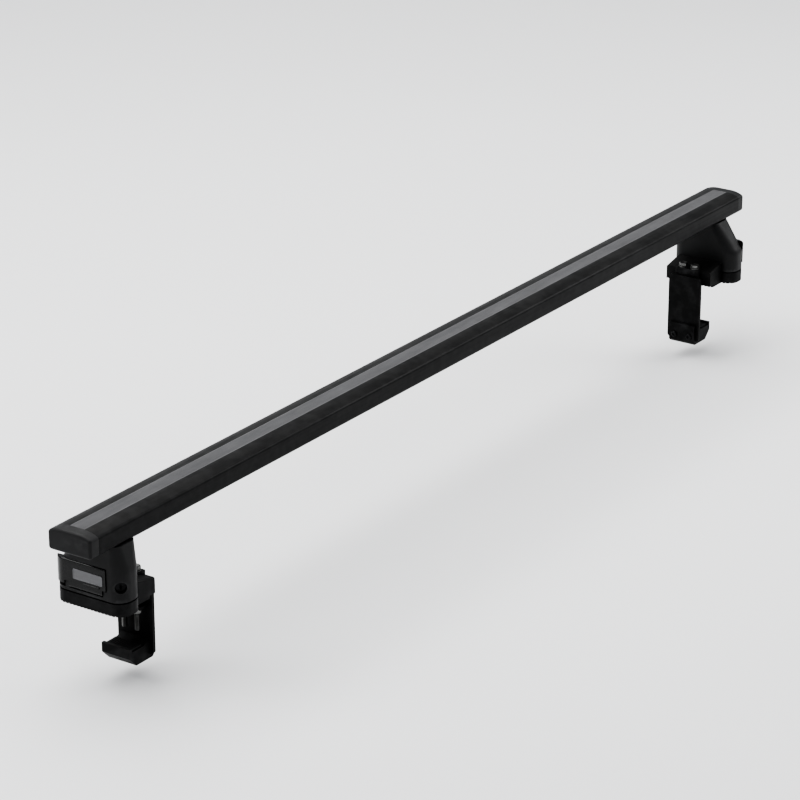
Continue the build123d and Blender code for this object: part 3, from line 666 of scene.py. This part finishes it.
# each flank: y where it is upright, height of its corner, y at the neck, radius of its corner
REAR_FLANK = (-46 * MM, 62 * MM, -38 * MM, 24 * MM)
FRONT_FLANK = (71 * MM, 53 * MM, 36 * MM, 12 * MM)


def moulded_tower():
    """Smooth outer form of the foot: one rounded plan at every height, drawn in by both flanks."""
    bm = bmesh.new()
    rise = NECK_TOP - BASE_TOP
    levels = [BASE_TOP - TOWER_FOOT_SPARE]
    levels += [BASE_TOP + rise * i / TOWER_LEVELS for i in range(1, TOWER_LEVELS + 1)]
    levels += [NECK_TOP + TOWER_NECK_SPARE]
    loops = []
    for level in levels:
        height = min(level, NECK_TOP)
        y_low = flank(height, *REAR_FLANK) + SKIN
        y_high = flank(height, *FRONT_FLANK) - SKIN
        drawn_in = max(0.0, (height - CORNER_CHANGE) / (NECK_TOP - CORNER_CHANGE))
        radius = TOWER_CORNER + (NECK_CORNER - TOWER_CORNER) * drawn_in - SKIN
        plan = rounded_plan(SKIN - TOWER_OUT, TOWER_DEPTH - TOWER_OUT - SKIN, y_low, y_high, radius)
        loops.append([bm.verts.new((x, y, RAIL_Z + level)) for x, y in plan])
    bm.faces.new(loops[0])
    bm.faces.new(loops[-1])
    count = len(loops[0])
    for low, high in zip(loops, loops[1:]):
        for i in range(count):
            j = (i + 1) % count
            bm.faces.new((low[i], low[j], high[j], high[i]))
    return mesh_from(bm)


def ribs_across(node, pitch, width, depth, from_top):
    """Cutting bars along X for a grooved face of a pad."""
    low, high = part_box(node)
    edge = high.z if from_top else low.z
    start, end = (edge - depth, edge + MM) if from_top else (edge - MM, edge + depth)
    count = int((high.y - low.y - 2 * pitch) / pitch)
    first = (high.y + low.y - count * pitch) / 2
    cuts = []
    for i in range(count + 1):
        y = first + i * pitch
        cuts.append(((low.x - MM, y - width / 2, start), (high.x + MM, y + width / 2, end)))
    return slabs(cuts)


foot_shape = combined(cad_copy("left_foot_body"), moulded_tower(), "INTERSECT")
both_feet("foot_body", softened(foot_shape, 0.4 * MM))
soft_copy_on_both_feet("foot_base", edge=0.7 * MM)
pad_grooves = ribs_across("left_rail_pad", pitch=6 * MM, width=2 * MM, depth=1.2 * MM, from_top=False)
rail_pad_shape = combined(cad_copy("left_rail_pad"), pad_grooves, "DIFFERENCE")
both_feet("rail_pad", softened(rail_pad_shape, 0.35 * MM))


# ---- Cover, badge and lock -----------------------------------------------------------------------

RIDGE_LENGTH = 26 * MM
RIDGE_HEIGHT = 3.2 * MM
RIDGE_PROUD = 1.4 * MM
RIDGE_Z = 36.5 * MM  # over the rail
RIDGE_OFFSET = 6 * MM  # from the badge's middle to the ridge's, away from the cab
BADGE_BORDER = 1.6 * MM
BADGE_PANEL_SINK = 0.35 * MM


def ridged_cover():
    """The cover with a finger ridge under the badge."""
    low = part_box("left_cover")[0]
    y = centre("left_badge", 1) - RIDGE_OFFSET
    z = RAIL_Z + RIDGE_Z
    outline = [(low.x - RIDGE_PROUD, z - 0.5 * MM), (low.x - RIDGE_PROUD, z + 0.5 * MM)]
    outline += [(low.x + 0.3 * MM, z + RIDGE_HEIGHT / 2), (low.x + 1.2 * MM, z)]
    outline += [(low.x + 0.3 * MM, z - RIDGE_HEIGHT / 2)]
    ridge = prism(outline, y - RIDGE_LENGTH / 2, y + RIDGE_LENGTH / 2, lambda x, h, w: Vector((x, w, h)))
    return combined(cad_copy("left_cover"), ridge, "UNION")


def bordered_badge():
    """Plain plate with a raised border round a sunk, brushed panel."""
    low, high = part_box("left_badge")
    panel = slabs([((low.x - MM, low.y + BADGE_BORDER, low.z + BADGE_BORDER),
                    (low.x + BADGE_PANEL_SINK, high.y - BADGE_BORDER, high.z - BADGE_BORDER))])
    return combined(cad_copy("left_badge"), panel, "DIFFERENCE")


both_feet("cover", softened(ridged_cover(), 0.4 * MM, segments=3))
both_feet("badge", softened(bordered_badge(), 0.15 * MM))
soft_copy_on_both_feet("lock_cylinder", edge=0.2 * MM)
soft_copy_on_both_feet("lock_cam", edge=0.2 * MM)


# ---- Clamp and fasteners ---------------------------------------------------------------------------

soft_copy_on_both_feet("clamp_plate", edge=0.6 * MM)
soft_copy_on_both_feet("clamp_jaw", edge=0.8 * MM)
jaw_grooves = ribs_across("left_jaw_pad", pitch=4 * MM, width=1.6 * MM, depth=1.0 * MM, from_top=True)
jaw_pad_shape = combined(cad_copy("left_jaw_pad"), jaw_grooves, "DIFFERENCE")
both_feet("jaw_pad", softened(jaw_pad_shape, 0.25 * MM))

for bolt in ("tension_bolt_a", "tension_bolt_b"):
    both_feet(bolt, hex_bolt("left_" + bolt))

BOLT_X = centre("left_tension_bolt_a", 0)
BOLTS_Y = [centre("left_tension_bolt_" + letter, 1) for letter in "ab"]
low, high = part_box("left_bolt_washers")
both_feet("bolt_washers", joined([washer(BOLT_X, y, low.z, high.z) for y in BOLTS_Y]))

low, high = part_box("left_jaw_screws")
cheek = high.x - JAW_HEAD
middle_z = centre("left_jaw_screws", 2)
JAW_SCREWS_Y = (low.y + JAW_HEAD_RADIUS, high.y - JAW_HEAD_RADIUS)
jaw_screws = [jaw_screw(cheek, y, middle_z, cheek - low.x) for y in JAW_SCREWS_Y]
both_feet("jaw_screws", joined(jaw_screws))

low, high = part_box("left_weld_nuts")
weld_nuts = [hex_nut(BOLT_X, y, low.z, high.z, high.x - low.x) for y in BOLTS_Y]
both_feet("weld_nuts", joined(weld_nuts))

low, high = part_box("left_t_bolts")
T_BOLTS_X = (low.x + T_HEAD / 2, high.x - T_HEAD / 2)
T_BOLT_Y = centre("left_t_bolts", 1)
both_feet("t_bolts", joined([t_bolt(x, T_BOLT_Y, low.z, high.z) for x in T_BOLTS_X]))
low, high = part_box("left_t_bolt_nuts")
both_feet("t_bolt_nuts", joined([hex_nut(x, T_BOLT_Y, low.z, high.z, M8_FLATS) for x in T_BOLTS_X]))
soft_copy_on_both_feet("base_screws", edge=0.3 * MM)
soft_copy_on_both_feet("cover_pin", edge=0.3 * MM)


# ---- Floor, lights and camera --------------------------------------------------------------

# the bar hangs on its rails, so the floor lies below the lowest place that its clamps reach
CLAMP_SLIDE = next(joint for joint in frame["joints"] if joint["name"] == "left_clamp_slide")
FLOOR_GAP = 0.5 * MM
FLOOR_Z = CAD_BOX[0][2] + CLAMP_SLIDE["range_m"][0] - FLOOR_GAP
FLOOR_SIZE = 60

bpy.ops.mesh.primitive_plane_add(size=FLOOR_SIZE, location=(0, 0, FLOOR_Z))
floor = bpy.context.object
floor.name = "studio_floor"
floor_look = Look("studio_floor", specular=0.1)
floor_tone = floor_look.noise((0.7, 0.7, 0.7))
floor_look.colour(floor_look.ramp(floor_tone, ((0.3, (0.78, 0.78, 0.78)), (0.7, (0.8, 0.8, 0.8)))))
floor_look.shader.inputs["Roughness"].default_value = 0.85
floor.data.materials.append(floor_look.material)


MIDDLE = Vector((0, 0, -0.1))


def area_light(name, place, size, power):
    """Soft panel aimed at the object and not seen itself: sizes in metres, power in watts."""
    data = bpy.data.lights.new(name, "AREA")
    data.shape = "RECTANGLE"
    data.size, data.size_y = size
    data.energy = power
    light = bpy.data.objects.new(name, data)
    bpy.context.scene.collection.objects.link(light)
    light.visible_camera = False
    light.location = place
    light.rotation_euler = (MIDDLE - Vector(place)).to_track_quat("-Z", "Y").to_euler()


area_light("overhead", (-0.3, 1.1, 3.4), size=(5.5, 4.0), power=200)
area_light("key", (-3.0, 2.6, 2.4), size=(1.8, 1.8), power=40)
area_light("back", (3.4, 3.1, 0.8), size=(3.0, 1.2), power=2.5)
area_light("rim", (3.0, -1.8, 1.9), size=(2.4, 1.8), power=55)
area_light("fill", (0.4, -3.8, 3.0), size=(3.5, 1.6), power=11)

WORLD_COLOUR = (0.9, 0.92, 0.95, 1)
WORLD_STRENGTH = 0.45

world = bpy.data.worlds.new("studio")
world.use_nodes = True
world.node_tree.nodes["Background"].inputs["Color"].default_value = WORLD_COLOUR
world.node_tree.nodes["Background"].inputs["Strength"].default_value = WORLD_STRENGTH
bpy.context.scene.world = world
bpy.context.scene.view_settings.look = "AgX - High Contrast"

# the photograph's viewpoint, with a longer lens so that the object fills the picture
VIEWPOINT = Vector((-3.888, -2.566, 1.737))
AIM = Vector((-0.11, 0.0, -0.066))
LENS = 149.2
SENSOR = 36.0
camera_data = bpy.data.cameras.new("camera")
camera_data.lens = LENS
camera_data.sensor_width = SENSOR
camera_data.clip_end = 200
camera = bpy.data.objects.new("camera", camera_data)
bpy.context.scene.collection.objects.link(camera)
camera.location = VIEWPOINT
camera.rotation_euler = (AIM - VIEWPOINT).to_track_quat("-Z", "Y").to_euler()
bpy.context.scene.camera = camera
